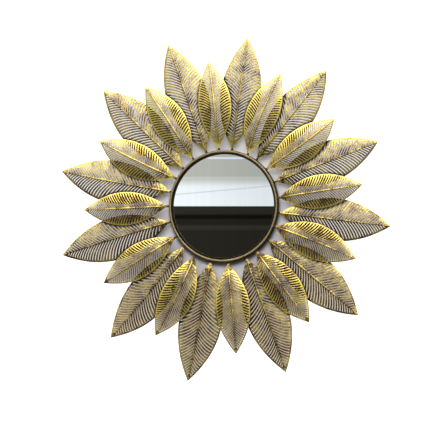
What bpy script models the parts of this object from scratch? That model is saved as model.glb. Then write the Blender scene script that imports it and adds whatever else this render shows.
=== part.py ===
"""Round wall mirror in a thin metal ring, with two layers of metal leaves.

Everything is built lying on its back: X to the right, Y up the wall and Z out of the wall. One
empty then stands it up, so that in the world X is right, Z is up and the front looks along -Y.
The origin is the middle of the back, where it meets the wall. All sizes are in metres.
"""
import math
from typing import NamedTuple

import bmesh
import bpy
from mathutils import Vector

# Clearance between pieces that touch
GAP = 0.0003

# Mirror glass and the board behind it
SIGHT_RADIUS = 0.1213
REBATE = 0.0026
GLASS_THICKNESS = 0.003
BOARD_THICKNESS = 0.006

# Turned ring
LIP_THICKNESS = 0.002
LIP_WIDTH = 0.0036
GROOVE_DEPTH = 0.0006
BEAD_RADIUS = 0.0033
BEAD_LIFT = 0.0008
BEAD_DEGREES = (160, 124, 90, 56, 26)
RING_STEPS = 44

# Hanging plate with its keyhole
PLATE_LENGTH = 0.064
PLATE_WIDTH = 0.026
PLATE_THICKNESS = 0.0015
PLATE_BELOW_RIM = 0.0459
KEYHOLE_HEAD_RADIUS = 0.005
KEYHOLE_SLOT_WIDTH = 0.005
KEYHOLE_SLOT_LENGTH = 0.010
POCKET_DEPTH = 0.0034
POCKET_MARGIN = 0.0015

# Stems that join the leaves to the ring
STEM_DIAMETER = 0.005
LARGE_STEM_HEIGHT = 0.0055
SMALL_STEM_HEIGHT = 0.0100
STEM_ROOM = 0.005

# Stamped leaves
LEAF_COUNT = 12
SHEET = 0.0012
RIM_WIDTH = 0.0052
MIDRIB_WIDTH = 0.0050
MIDRIB_RISE = 0.0014
FOOT_WIDTH = 0.0060
TIP_WIDTH = 0.0024
CREST_SHIFT = 0.8
STRAIGHT_FALL = 0.3
LARGE_LENGTH = 0.2700
LARGE_WIDTH = 0.1000
LARGE_CAMBER = 0.0085
LARGE_ARCH = 0.0100
LARGE_TIP_RISE = 0.0000
SMALL_LENGTH = 0.2030
SMALL_WIDTH = 0.0800
SMALL_CAMBER = 0.0070
SMALL_TIP_RISE = 0.0080
LAYER_GAP = 0.0040

# Where the first leaf of each layer stands, counterclockwise from the right, in degrees
LARGE_FIRST = 108.0
SMALL_FIRST = 94.0

# How many faces a leaf has along its length, and how strongly they crowd to its ends
LARGE_STEPS = 8
SMALL_STEPS = 7
STEP_CROWDING = 0.5

# The most of half a leaf's width that its midrib or its rim takes near the ends
NARROW_SHARE = 0.3


class Setting(NamedTuple):
    """How one leaf was set by hand: degrees off its even place, lean, and extra length and bow."""

    turn: float
    lean: float
    stretch: float
    bow: float


LARGE_SETTINGS = (
    Setting(0.5, 1.3, 0.000, -0.002),
    Setting(3.7, 0.0, -0.009, -0.003),
    Setting(5.5, -3.1, -0.009, -0.003),
    Setting(5.5, -3.9, -0.010, -0.002),
    Setting(3.8, 0.3, -0.004, 0.000),
    Setting(4.7, -2.6, 0.007, 0.002),
    Setting(5.6, -4.0, 0.011, 0.003),
    Setting(-1.7, 2.5, 0.010, 0.004),
    Setting(-3.6, 5.3, 0.003, 0.006),
    Setting(-3.3, 0.8, 0.001, 0.000),
    Setting(-3.8, 4.2, 0.000, 0.002),
    Setting(-0.7, -1.4, -0.001, 0.000),
)
SMALL_SETTINGS = (
    Setting(0.9, 1.2, 0.000, -0.005),
    Setting(-0.1, 2.3, -0.004, 0.002),
    Setting(4.8, -4.7, -0.006, -0.006),
    Setting(2.7, 0.5, -0.002, -0.001),
    Setting(3.7, -0.1, 0.005, 0.003),
    Setting(2.5, 0.9, 0.006, 0.002),
    Setting(1.0, 0.7, 0.008, 0.004),
    Setting(-4.6, 4.0, 0.002, 0.007),
    Setting(-2.5, -0.2, -0.002, 0.002),
    Setting(-5.0, 2.3, -0.003, 0.002),
    Setting(-4.2, 3.4, 0.000, 0.003),
    Setting(-0.8, 0.2, 0.001, -0.003),
)

# Sizes worked out from the ones above
STEM_RADIUS = STEM_DIAMETER / 2
REBATE_RADIUS = SIGHT_RADIUS + REBATE
RING_RADIUS = SIGHT_RADIUS + LIP_WIDTH + 2 * BEAD_RADIUS
GLASS_BACK = BOARD_THICKNESS + GAP
LIP_BACK = GLASS_BACK + GLASS_THICKNESS + GAP
LIP_TOP = LIP_BACK + LIP_THICKNESS
PLATE_HEIGHT = REBATE_RADIUS - PLATE_BELOW_RIM
FOOT_RADIUS = RING_RADIUS + STEM_ROOM
LEAF_OVER_STEM = STEM_RADIUS + GAP + SHEET
LARGE_FOOT_HEIGHT = LARGE_STEM_HEIGHT + LEAF_OVER_STEM
SMALL_FOOT_HEIGHT = SMALL_STEM_HEIGHT + LEAF_OVER_STEM
SMALL_ARCH = (LARGE_ARCH + SMALL_CAMBER + SHEET + LAYER_GAP
              - (SMALL_FOOT_HEIGHT - LARGE_FOOT_HEIGHT) - SMALL_TIP_RISE / 2)

COLLECTION_NAME = "leaf_wall_mirror"
CUTTER_COLLECTION_NAME = "cutters"
CUT_OVERRUN = 0.002


class LeafForm(NamedTuple):
    """The sizes of one stamping, before it is set on the ring."""

    length: float
    width: float
    camber: float
    arch: float
    tip_rise: float
    foot_height: float
    bow: float
    steps: int


def start_clean():
    """Remove whatever the file holds."""
    for item in list(bpy.data.objects):
        bpy.data.objects.remove(item, do_unlink=True)


def new_collection(name):
    """A collection linked to the scene."""
    collection = bpy.data.collections.new(name)
    bpy.context.scene.collection.children.link(collection)
    return collection


def principled(name, colour, roughness, metallic):
    """A plain Principled material."""
    material = bpy.data.materials.new(name)
    material.use_nodes = True
    shader = material.node_tree.nodes["Principled BSDF"]
    shader.inputs["Base Color"].default_value = (*colour, 1.0)
    shader.inputs["Roughness"].default_value = roughness
    shader.inputs["Metallic"].default_value = metallic
    return material


def place(item, collection, frame, material=None):
    """Put an object in its collection, under the standing frame, with its material."""
    for old in list(item.users_collection):
        old.objects.unlink(item)
    collection.objects.link(item)
    item.parent = frame
    if material is not None:
        item.data.materials.append(material)
    return item


def object_from(name, shape):
    """An object from a finished bmesh."""
    mesh = bpy.data.meshes.new(name)
    shape.to_mesh(mesh)
    shape.free()
    return bpy.data.objects.new(name, mesh)


def disc(name, radius, low, high):
    """A round plate between two heights."""
    shape = bmesh.new()
    bmesh.ops.create_cone(shape, cap_ends=True, segments=RING_STEPS, radius1=radius,
                          radius2=radius, depth=high - low)
    bmesh.ops.translate(shape, vec=(0.0, 0.0, (low + high) / 2), verts=shape.verts)
    return object_from(name, shape)


def block(name, low, high):
    """A box between two corners."""
    shape = bmesh.new()
    bmesh.ops.create_cube(shape, size=1.0)
    size = Vector(high) - Vector(low)
    bmesh.ops.scale(shape, vec=size, verts=shape.verts)
    bmesh.ops.translate(shape, vec=Vector(low) + size / 2, verts=shape.verts)
    return object_from(name, shape)


def peg(name, x, y, radius, low, high, segments=16):
    """A round cutter standing on the wall plane."""
    shape = bmesh.new()
    bmesh.ops.create_cone(shape, cap_ends=True, segments=segments, radius1=radius,
                          radius2=radius, depth=high - low)
    bmesh.ops.translate(shape, vec=(x, y, (low + high) / 2), verts=shape.verts)
    return object_from(name, shape)


def cut(item, cutter, cutters, frame):
    """Take a cutter out of an object."""
    place(cutter, cutters, frame)
    cutter.hide_render = True
    cutter.display_type = "WIRE"
    boolean = item.modifiers.new("cut", "BOOLEAN")
    boolean.operation = "DIFFERENCE"
    boolean.solver = "EXACT"
    boolean.object = cutter


def shade_round(item, angle):
    """Smooth shading, sharp where the faces turn by more than an angle in degrees."""
    item.data.shade_smooth()
    item.data.set_sharp_from_angle(angle=math.radians(angle))


def ring_profile():
    """The ring's section, from the bead's outermost point down its outer side and back up."""
    bead_centre = RING_RADIUS - BEAD_RADIUS
    bead_height = LIP_TOP + BEAD_LIFT
    bead_inner = RING_RADIUS - 2 * BEAD_RADIUS
    points = [
        (RING_RADIUS, bead_height),
        (RING_RADIUS, 0.0),
        (REBATE_RADIUS, 0.0),
        (REBATE_RADIUS, LIP_BACK),
        (SIGHT_RADIUS, LIP_BACK),
        (SIGHT_RADIUS, LIP_TOP),
        (bead_inner - GROOVE_DEPTH / 2, LIP_TOP),
        (bead_inner, LIP_TOP - GROOVE_DEPTH),
    ]
    for degrees in BEAD_DEGREES:
        angle = math.radians(degrees)
        points.append((bead_centre + BEAD_RADIUS * math.cos(angle),
                       bead_height + BEAD_RADIUS * math.sin(angle)))
    return points


def frame_ring():
    """The turned ring that holds the glass."""
    shape = bmesh.new()
    corners = [shape.verts.new((radius, 0.0, height)) for radius, height in ring_profile()]
    for start, end in zip(corners, corners[1:] + corners[:1]):
        shape.edges.new((start, end))
    item = object_from("frame_ring", shape)
    screw = item.modifiers.new("turn", "SCREW")
    screw.axis = "Z"
    screw.angle = math.tau
    screw.steps = RING_STEPS
    screw.render_steps = RING_STEPS
    screw.use_merge_vertices = True
    screw.merge_threshold = 0.00001
    screw.use_smooth_shade = True
    return item


def plate_box(extra, low, high):
    """The hanging plate's outline between two heights, larger all round by a clearance."""
    half_length = PLATE_LENGTH / 2 + extra
    half_width = PLATE_WIDTH / 2 + extra
    return ((-half_length, PLATE_HEIGHT - half_width, low),
            (half_length, PLATE_HEIGHT + half_width, high))


def keyhole_heights():
    """The heights of the keyhole's round head and of the closed end of its slot."""
    head = PLATE_HEIGHT - KEYHOLE_SLOT_LENGTH / 2
    return head, head + KEYHOLE_SLOT_LENGTH


def backing_board(cutters, frame):
    """The round board, with the plate's recess and the pocket for the screw's head."""
    board = disc("backing_board", REBATE_RADIUS - GAP, 0.0, BOARD_THICKNESS)
    floor = PLATE_THICKNESS + GAP
    recess = block("plate_recess", *plate_box(GAP, -CUT_OVERRUN, floor))
    cut(board, recess, cutters, frame)
    head, end = keyhole_heights()
    reach = KEYHOLE_HEAD_RADIUS + POCKET_MARGIN
    pocket = block("screw_pocket", (-reach, head - reach, floor - CUT_OVERRUN / 2),
                   (reach, end + KEYHOLE_HEAD_RADIUS, floor + POCKET_DEPTH))
    cut(board, pocket, cutters, frame)
    return board


def hanging_plate(cutters, frame):
    """The steel plate with its keyhole: the screw's head goes in below and rests above."""
    plate = block("hanging_plate", *plate_box(0.0, 0.0, PLATE_THICKNESS))
    head, end = keyhole_heights()
    low, high = -CUT_OVERRUN, PLATE_THICKNESS + CUT_OVERRUN
    cut(plate, peg("keyhole_head", 0.0, head, KEYHOLE_HEAD_RADIUS, low, high), cutters, frame)
    half = KEYHOLE_SLOT_WIDTH / 2
    slot = block("keyhole_slot", (-half, head, low), (half, end, high))
    cut(plate, slot, cutters, frame)
    cut(plate, peg("keyhole_end", 0.0, end, half, low, high), cutters, frame)
    return plate


def station(step, steps):
    """The share of the leaf's length at one step, closer together towards both ends."""
    share = step / steps
    return share - STEP_CROWDING * math.sin(math.tau * share) / math.tau


def half_width(form, share):
    """Half the leaf's width: two equal arcs that meet at a blunt tip and a narrow foot."""
    end = FOOT_WIDTH if share < 0.5 else TIP_WIDTH
    return max(form.width / 2 * 4 * share * (1 - share), end / 2)


def spine_height(form, share):
    """Height of the blade along its middle: it springs from the stem, crests and falls back."""
    hump = math.sin(math.pi * share ** CREST_SHIFT)
    return form.foot_height + form.arch * hump + form.tip_rise * share


def spine_sway(form, share):
    """The sideways bow of the leaf's middle line."""
    return form.bow * 4 * share * (1 - share)


def across_shares(width):
    """Places across half the blade: midrib crest, its foot, mid blade, the rim's two edges."""
    midrib = min(MIDRIB_WIDTH / 2 / width, NARROW_SHARE)
    rim = 1 - min(RIM_WIDTH / width, NARROW_SHARE)
    return (0.0, midrib, (midrib + rim) / 2, rim, 1.0)


def blade_point(form, share, across):
    """A point on the blade's front: across runs from -1 to 1 over the local width."""
    width = half_width(form, share)
    fall = form.camber * (2 * width / form.width)
    side = abs(across)
    curve = STRAIGHT_FALL * side + (1 - STRAIGHT_FALL) * side ** 2
    height = spine_height(form, share) - fall * curve
    if side == 0.0:
        height += min(MIDRIB_RISE, width / 3)
    return Vector((form.length * share, spine_sway(form, share) + across * width, height))


def leaf_blade(name, form):
    """One stamped leaf: a cambered and arched sheet with a raised midrib."""
    columns = 4
    shape = bmesh.new()
    bmesh.ops.create_grid(shape, x_segments=form.steps, y_segments=2 * columns, size=1.0)
    for corner in shape.verts:
        step = round((corner.co.x + 1) / 2 * form.steps)
        column = round((corner.co.y + 1) * columns) - columns
        share = station(step, form.steps)
        across = across_shares(half_width(form, share))[abs(column)]
        corner.co = blade_point(form, share, math.copysign(across, column))
    item = object_from(name, shape)
    thick = item.modifiers.new("sheet", "SOLIDIFY")
    thick.thickness = SHEET
    thick.offset = -1.0
    thick.use_rim = True
    shade_round(item, 35)
    return item


def leaf_stem(name, form):
    """The rod that runs from the ring along the underside of the leaf's middle."""
    curve = bpy.data.curves.new(name, "CURVE")
    curve.dimensions = "3D"
    curve.bevel_depth = STEM_RADIUS
    curve.bevel_resolution = 1
    curve.use_fill_caps = True
    points = [(GAP - STEM_ROOM, 0.0, form.foot_height - LEAF_OVER_STEM)]
    for step in range(3):
        share = station(step, form.steps)
        points.append((form.length * share, spine_sway(form, share),
                       spine_height(form, share) - LEAF_OVER_STEM))
    spline = curve.splines.new("POLY")
    spline.points.add(len(points) - 1)
    for knot, point in zip(spline.points, points):
        knot.co = (*point, 1.0)
    return bpy.data.objects.new(name, curve)


def set_on_ring(item, first, index, setting):
    """Stand a leaf or a stem at its place on the ring."""
    angle = math.radians(first - index * 360 / LEAF_COUNT + setting.turn)
    item.location = (FOOT_RADIUS * math.cos(angle), FOOT_RADIUS * math.sin(angle), 0.0)
    item.rotation_euler = (0.0, 0.0, angle + math.radians(setting.lean))


def leaf_layer(layer, form, first, settings, parts, frame, gold, iron):
    """One layer of leaves with their stems."""
    for index, setting in enumerate(settings):
        stretched = form._replace(
            length=form.length + setting.stretch,
            width=form.width * (1 + setting.stretch / form.length),
            bow=setting.bow,
        )
        number = f"{index + 1:02d}"
        for item, material in ((leaf_blade(f"{layer}_leaf_{number}", stretched), gold),
                               (leaf_stem(f"{layer}_stem_{number}", stretched), iron)):
            place(item, parts, frame, material)
            set_on_ring(item, first, index, setting)


def build():
    """Build the whole mirror."""
    start_clean()
    parts = new_collection(COLLECTION_NAME)
    cutters = new_collection(CUTTER_COLLECTION_NAME)
    gold = principled("leaf_gold", (0.55, 0.44, 0.18), 0.38, 1.0)
    bronze = principled("ring_bronze", (0.32, 0.26, 0.14), 0.35, 1.0)
    iron = principled("stem_iron", (0.10, 0.08, 0.05), 0.50, 1.0)
    silver = principled("mirror_silver", (0.92, 0.93, 0.93), 0.02, 1.0)
    board_brown = principled("board_brown", (0.30, 0.21, 0.13), 0.85, 0.0)
    steel = principled("plate_steel", (0.55, 0.55, 0.56), 0.35, 1.0)

    frame = bpy.data.objects.new("front_frame", None)
    parts.objects.link(frame)
    frame.rotation_euler = (math.radians(90), 0.0, 0.0)

    place(frame_ring(), parts, frame, bronze)
    glass = disc("mirror_glass", REBATE_RADIUS - GAP, GLASS_BACK, GLASS_BACK + GLASS_THICKNESS)
    place(glass, parts, frame, silver)
    place(backing_board(cutters, frame), parts, frame, board_brown)
    place(hanging_plate(cutters, frame), parts, frame, steel)

    large = LeafForm(LARGE_LENGTH, LARGE_WIDTH, LARGE_CAMBER, LARGE_ARCH, LARGE_TIP_RISE,
                     LARGE_FOOT_HEIGHT, 0.0, LARGE_STEPS)
    small = LeafForm(SMALL_LENGTH, SMALL_WIDTH, SMALL_CAMBER, SMALL_ARCH, SMALL_TIP_RISE,
                     SMALL_FOOT_HEIGHT, 0.0, SMALL_STEPS)
    leaf_layer("large", large, LARGE_FIRST, LARGE_SETTINGS, parts, frame, gold, iron)
    leaf_layer("small", small, SMALL_FIRST, SMALL_SETTINGS, parts, frame, gold, iron)
    bpy.context.view_layer.update()


build()
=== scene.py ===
"""Looks of a round wall mirror with two layers of pierced metal leaves.

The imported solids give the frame: X right, Z up, the front looks along -Y and the wall is at
Y = 0. The leaves, stems and ring are shaped here in the wall's own axes (X right, Y up the
wall, Z out of the wall) and stood up by one turn about X. All sizes are in metres.
"""

import logging
import math
from dataclasses import dataclass, replace
from enum import Enum
from typing import Iterator, NamedTuple, Sequence

import bmesh
import bpy
import numpy as np
from mathutils import Matrix, Vector


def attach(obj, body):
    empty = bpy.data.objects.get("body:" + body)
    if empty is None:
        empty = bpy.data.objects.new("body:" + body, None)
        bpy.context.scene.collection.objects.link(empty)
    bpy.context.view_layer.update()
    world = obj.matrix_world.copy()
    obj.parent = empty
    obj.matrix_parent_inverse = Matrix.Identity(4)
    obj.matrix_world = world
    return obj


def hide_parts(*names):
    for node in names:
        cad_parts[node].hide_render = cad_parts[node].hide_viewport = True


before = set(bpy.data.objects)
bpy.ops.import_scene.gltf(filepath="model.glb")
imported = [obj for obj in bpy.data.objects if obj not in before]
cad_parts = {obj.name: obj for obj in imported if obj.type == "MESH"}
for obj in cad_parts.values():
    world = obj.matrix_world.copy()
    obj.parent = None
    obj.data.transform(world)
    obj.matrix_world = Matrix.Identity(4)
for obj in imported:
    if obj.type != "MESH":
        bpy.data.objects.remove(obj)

LOG = logging.getLogger("leaf_wall_mirror")
BODY = "root"
STAND = Matrix.Rotation(math.radians(90.0), 4, "X")
OUT = Vector((0.0, 0.0, 1.0))

# What the meshes carry at their vertices, for the materials to read. On the leaves the relief
# also carries painted light and shade; the wall carries its painted shade, painted shadows and
# painted light.
RELIEF = "relief"
BEHIND = "behind"
PAINTED_SHADOW = "between"
GLOW = "glow"

Colour = tuple[float, float, float]
Point = tuple[float, float, float]
Span = tuple[float, float]
Item = bpy.types.Object
Material = bpy.types.Material
Socket = bpy.types.NodeSocket
Corner = bmesh.types.BMVert

WHITE: Colour = (1.0, 1.0, 1.0)
BLACK: Colour = (0.0, 0.0, 0.0)
WHOLE: Span = (0.0, 1.0)


class Slot(Enum):
    """Names for the material slots."""

    LEAF = "leaf_gold"
    RING = "ring_bronze"
    STEM = "stem_iron"
    GLASS = "mirror_silver"


class Layer(Enum):
    """The two layers of leaves."""

    LARGE = "large"
    SMALL = "small"


# ---- small helpers ----


def mix(low: float, high: float, share: float) -> float:
    """A value between two others, at a share of the way."""
    return low + (high - low) * share


def spread(low: float, high: float, count: int) -> list[float]:
    """Even values from one to another, both included."""
    return [mix(low, high, n / (count - 1)) for n in range(count)]


def applied(item: Item) -> None:
    """Turn an object's modifiers into its mesh.

    Args:
        item: A mesh object in the scene.
    """
    graph = bpy.context.evaluated_depsgraph_get()
    mesh = bpy.data.meshes.new_from_object(item.evaluated_get(graph))
    old = item.data
    item.modifiers.clear()
    item.data = mesh
    bpy.data.meshes.remove(old)


def shade_round(item: Item, degrees: float) -> None:
    """Shade smooth, sharp where the faces turn by more than an angle."""
    item.data.shade_smooth()
    item.data.set_sharp_from_angle(angle=math.radians(degrees))


def stand_for(item: Item, node: str) -> None:
    """Put a piece into the frame in the place of a solid.

    Args:
        item: The piece, standing in its place.
        node: The solid's node.
    """
    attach(item, BODY)
    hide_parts(node)
    LOG.info("%s stands for %s, %d faces", item.name, node, len(item.data.polygons))


class ReliefMesh:
    """A bmesh whose vertices carry how much they stand proud, for the finishes to read."""

    def __init__(self) -> None:
        """Start an empty mesh."""
        self.shape = bmesh.new()
        self.relief = self.shape.verts.layers.float.new(RELIEF)

    def corner(self, place: Sequence[float], relief: float = 0.0) -> Corner:
        """Add one vertex.

        Args:
            place: Its position.
            relief: 0 in a recess to 1 on a crest.

        Returns:
            The new vertex.
        """
        vert = self.shape.verts.new(place)
        vert[self.relief] = relief
        return vert

    def circle(self, radius: float, height: float, relief: float, steps: int) -> list[Corner]:
        """Add a level circle of vertices round Z.

        Args:
            radius: Its radius.
            height: Its height.
            relief: How much its vertices stand proud.
            steps: How many vertices it has.

        Returns:
            The vertices in order.
        """
        return [self.corner((radius * math.cos(math.tau * n / steps),
                             radius * math.sin(math.tau * n / steps), height), relief)
                for n in range(steps)]

    def face(self, corners: Sequence[Corner]) -> None:
        """Add one face."""
        self.shape.faces.new(corners)

    def bridge(self, first: Sequence[Corner], second: Sequence[Corner]) -> None:
        """Join two closed rings of as many vertices with quads."""
        for n in range(len(first)):
            m = (n + 1) % len(first)
            self.face((first[n], first[m], second[m], second[n]))

    def outward(self) -> None:
        """Turn every face outward."""
        bmesh.ops.recalc_face_normals(self.shape, faces=self.shape.faces)

    def finish(self, name: str, *materials: Material) -> Item:
        """Make the object.

        Args:
            name: The object's name.
            materials: Its materials.

        Returns:
            The object, linked to the scene.
        """
        mesh = bpy.data.meshes.new(name)
        self.shape.to_mesh(mesh)
        self.shape.free()
        for material in materials:
            mesh.materials.append(material)
        item = bpy.data.objects.new(name, mesh)
        bpy.context.scene.collection.objects.link(item)
        return item


# ---- node helpers ----


class Grain(NamedTuple):
    """The sizes of a noise: features a metre, octaves and how strong the fine ones are."""

    scale: float
    detail: float = 3.0
    roughness: float = 0.55


class Bump(NamedTuple):
    """How much of a bump shows and its real height in metres."""

    strength: float
    distance: float


class Nodes:
    """A short way to write a node tree."""

    def __init__(self, tree: bpy.types.NodeTree) -> None:
        """Work on the tree of a material, a world or a group."""
        self.tree = tree

    def add(self, kind: str, **settings: object) -> bpy.types.Node:
        """Add a node.

        Args:
            kind: The node's type name, without the ShaderNode in front.
            settings: Its properties.

        Returns:
            The node.
        """
        node = self.tree.nodes.new("ShaderNode" + kind)
        for key, value in settings.items():
            setattr(node, key, value)
        return node

    def feed(self, socket: Socket, value: object) -> None:
        """Link a socket to an input, or set the input's own value.

        Args:
            socket: The input.
            value: An output socket, a number, a vector or a colour.
        """
        if isinstance(value, Socket):
            self.tree.links.new(value, socket)
        elif isinstance(value, tuple) and len(value) == 3 and socket.type == "RGBA":
            socket.default_value = (*value, 1.0)
        else:
            socket.default_value = value

    def fill(self, node: bpy.types.Node, **values: object) -> bpy.types.Node:
        """Feed a node's inputs by their names.

        Args:
            node: The node.
            values: Its inputs, with _ for a space in a name.

        Returns:
            The same node.
        """
        for key, value in values.items():
            self.feed(node.inputs[key.replace("_", " ")], value)
        return node

    def row(self, node: bpy.types.Node, *values: object) -> Socket:
        """Feed a node's first inputs in order, and give its first output."""
        for socket, value in zip(node.inputs, values):
            self.feed(socket, value)
        return node.outputs[0]

    def math(self, operation: str, first: object, second: object = 0.0,
             third: object = 0.0) -> Socket:
        """One sum, by the name of the Math node's operation."""
        return self.row(self.add("Math", operation=operation), first, second, third)

    def range(self, value: object, span: Span, to: Span = WHOLE) -> Socket:
        """Map a value from one span to another, smoothly and within the second."""
        node = self.add("MapRange", interpolation_type="SMOOTHSTEP")
        return self.row(node, value, *span, *to)

    def blend(self, share: object, first: object, second: object, kind: str = "MIX") -> Socket:
        """Mix two colours.

        Args:
            share: How much of the second.
            first: One colour.
            second: The other colour.
            kind: The blend type.

        Returns:
            The mixed colour.
        """
        node = self.add("Mix", data_type="RGBA", blend_type=kind)
        for number, value in ((0, share), (6, first), (7, second)):
            self.feed(node.inputs[number], value)
        return node.outputs[2]

    def noise(self, place: object, grain: Grain) -> Socket:
        """A noise value, about 0.5 in the mean."""
        return self.fill(self.add("TexNoise"), Vector=place, Scale=grain.scale,
                         Detail=grain.detail, Roughness=grain.roughness).outputs[0]

    def place(self) -> Socket:
        """Where the shaded point is, in the row frame."""
        return self.add("NewGeometry").outputs["Position"]

    def parts(self, vector: object) -> bpy.types.NodeOutputs:
        """The X, Y and Z of a vector."""
        return self.fill(self.add("SeparateXYZ"), Vector=vector).outputs

    def vector(self, operation: str, *values: object) -> bpy.types.Node:
        """A sum with vectors, by the name of the Vector Math node's operation."""
        node = self.add("VectorMath", operation=operation)
        self.row(node, *values)
        return node

    def attribute(self, name: str) -> Socket:
        """A number that the mesh carries."""
        return self.add("Attribute", attribute_name=name).outputs["Fac"]

    def bump(self, height: object, bump: Bump) -> Socket:
        """The normal of a bump from a height between 0 and 1."""
        return self.fill(self.add("Bump"), Strength=bump.strength, Distance=bump.distance,
                         Height=height).outputs["Normal"]

    def group(self, tree: bpy.types.NodeTree, **values: object) -> Socket:
        """Place a group and give its one output."""
        return self.fill(self.add("Group", node_tree=tree), **values).outputs[0]


def new_group(name: str, takes: dict[str, str], gives: str
              ) -> tuple[Nodes, bpy.types.NodeOutputs, Socket]:
    """Start a shader node group.

    Args:
        name: The group's name.
        takes: Its inputs, name to kind of socket.
        gives: The name of its one output, a number.

    Returns:
        The group's node writer, what it takes and the socket for what it gives.
    """
    tree = bpy.data.node_groups.new(name, "ShaderNodeTree")
    for socket, kind in takes.items():
        tree.interface.new_socket(socket, in_out="INPUT", socket_type="NodeSocket" + kind)
    tree.interface.new_socket(gives, in_out="OUTPUT", socket_type="NodeSocketFloat")
    start = tree.nodes.new("NodeGroupInput")
    end = tree.nodes.new("NodeGroupOutput")
    return Nodes(tree), start.outputs, end.inputs[gives]


@dataclass(frozen=True)
class RubbedRelief:
    """The rub of a gilded finish: bright on what stands proud, broken up by noise."""

    cloud: Grain = Grain(38.0)
    grain: Grain = Grain(300.0, 4.0, 0.65)
    span: Span = (-0.25, 0.35)

    def group(self) -> bpy.types.NodeTree:
        """Build the group.

        Returns:
            A group that takes Place, Relief, Reach and Break and gives Rub.
        """
        nodes, take, rub = new_group("rubbed_relief", {
            "Place": "Vector", "Relief": "Float", "Reach": "Float", "Break": "Float"}, "Rub")
        uneven = nodes.math("SUBTRACT", nodes.math(
            "ADD", nodes.noise(take["Place"], self.cloud),
            nodes.noise(take["Place"], self.grain)), 1.0)
        level = nodes.math("MULTIPLY_ADD", uneven, take["Break"], take["Relief"])
        raised = nodes.math("SUBTRACT", level, nodes.math("SUBTRACT", 1.0, take["Reach"]))
        nodes.feed(rub, nodes.range(raised, self.span))
        return nodes.tree


@dataclass(frozen=True)
class FineSurface:
    """The surface of painted iron: shallow dents with a fine grain."""

    dents: Grain = Grain(130.0, 2.0, 0.4)
    grain: Grain = Grain(1500.0, 3.0, 0.6)

    def group(self) -> bpy.types.NodeTree:
        """Build the group.

        Returns:
            A group that takes Place, Dents and Grain and gives Height.
        """
        nodes, take, height = new_group("fine_surface", {
            "Place": "Vector", "Dents": "Float", "Grain": "Float"}, "Height")
        dents = nodes.math("MULTIPLY", nodes.noise(take["Place"], self.dents), take["Dents"])
        nodes.feed(height, nodes.math("MULTIPLY_ADD", nodes.noise(take["Place"], self.grain),
                                      take["Grain"], dents))
        return nodes.tree


@dataclass(frozen=True)
class Groups:
    """The shared node groups."""

    rub: bpy.types.NodeTree
    surface: bpy.types.NodeTree


# ---- finishes ----


class Finish:
    """What every finish can do: start a material round one Principled shader."""

    name: str

    def start(self) -> tuple[Material, Nodes, bpy.types.Node]:
        """Start the material.

        Returns:
            The material, its node writer and its Principled shader.
        """
        material = bpy.data.materials.new(self.name)
        material.use_nodes = True
        nodes = Nodes(material.node_tree)
        return material, nodes, material.node_tree.nodes["Principled BSDF"]


@dataclass(frozen=True)
class AntiqueGold(Finish):
    """Gold paint rubbed over dark brown, as on the leaves and the ring."""

    name: str
    deep: Colour
    brown: Colour
    middle: Colour
    bright: Colour
    reach: float
    breaks: float = 0.8
    rough_deep: float = 0.45
    rough_bright: float = 0.34
    metallic: float = 0.92
    coat: float = 0.15
    coat_rough: float = 0.3
    patches: Grain = Grain(60.0, 4.0, 0.62)
    patch_span: Span = (0.44, 0.57)
    low_span: Span = (0.0, 0.5)
    high_span: Span = (0.45, 1.0)
    dents: float = 0.8
    grain: float = 0.2
    bump: Bump = Bump(0.5, 0.0006)

    def material(self, groups: Groups) -> Material:
        """Build the material.

        Args:
            groups: The shared node groups.

        Returns:
            The material.
        """
        material, nodes, shader = self.start()
        place = nodes.place()
        # On the leaves, the relief also carries painted top light, painted shade and painted
        # shadow.
        rub = nodes.group(groups.rub, Place=place, Relief=nodes.attribute(RELIEF),
                          Reach=self.reach, Break=self.breaks)
        patches = nodes.range(nodes.noise(place, self.patches), self.patch_span)
        base = nodes.blend(patches, self.brown, self.middle)
        dark = nodes.blend(nodes.range(rub, self.low_span), self.deep, base)
        surface = nodes.group(groups.surface, Place=place, Dents=self.dents, Grain=self.grain)
        nodes.fill(shader,
                   Base_Color=nodes.blend(nodes.range(rub, self.high_span), dark, self.bright),
                   Roughness=nodes.range(rub, WHOLE, (self.rough_deep, self.rough_bright)),
                   Metallic=self.metallic, Coat_Weight=self.coat,
                   Coat_Roughness=self.coat_rough, Normal=nodes.bump(surface, self.bump))
        return material


@dataclass(frozen=True)
class DarkIron(Finish):
    """Dark brown paint on iron: the leaves' backs and slot walls, and the stems."""

    name: str
    colour: Colour
    worn: Colour
    roughness: float
    metallic: float
    polish: float = 0.12
    patches: Grain = Grain(60.0, 4.0, 0.6)
    patch_span: Span = (0.52, 0.75)
    dents: float = 0.6
    grain: float = 0.4
    bump: Bump = Bump(0.5, 0.0005)

    def material(self, groups: Groups) -> Material:
        """Build the material.

        Args:
            groups: The shared node groups.

        Returns:
            The material.
        """
        material, nodes, shader = self.start()
        place = nodes.place()
        patches = nodes.range(nodes.noise(place, self.patches), self.patch_span)
        surface = nodes.group(groups.surface, Place=place, Dents=self.dents, Grain=self.grain)
        nodes.fill(shader, Base_Color=nodes.blend(patches, self.colour, self.worn),
                   Roughness=nodes.range(patches, WHOLE,
                                         (self.roughness, self.roughness - self.polish)),
                   Metallic=self.metallic, Normal=nodes.bump(surface, self.bump))
        return material


@dataclass(frozen=True)
class SilveredGlass(Finish):
    """Clear glass with silver behind it, under a trace of haze."""

    name: str = "silvered_glass"
    colour: Colour = (0.93, 0.95, 0.945)
    haze: float = 0.012
    haze_tone: float = 0.985
    film: Grain = Grain(9.0, 4.0, 0.7)
    film_span: Span = (0.45, 0.8)

    def material(self) -> Material:
        """Build the material."""
        material, nodes, shader = self.start()
        film = nodes.range(nodes.noise(nodes.place(), self.film), self.film_span)
        hazy = tuple(self.haze_tone * part for part in self.colour)
        nodes.fill(shader, Base_Color=nodes.blend(film, self.colour, hazy),
                   Roughness=nodes.range(film, WHOLE, (0.0, self.haze)), Metallic=1.0)
        return material


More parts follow.
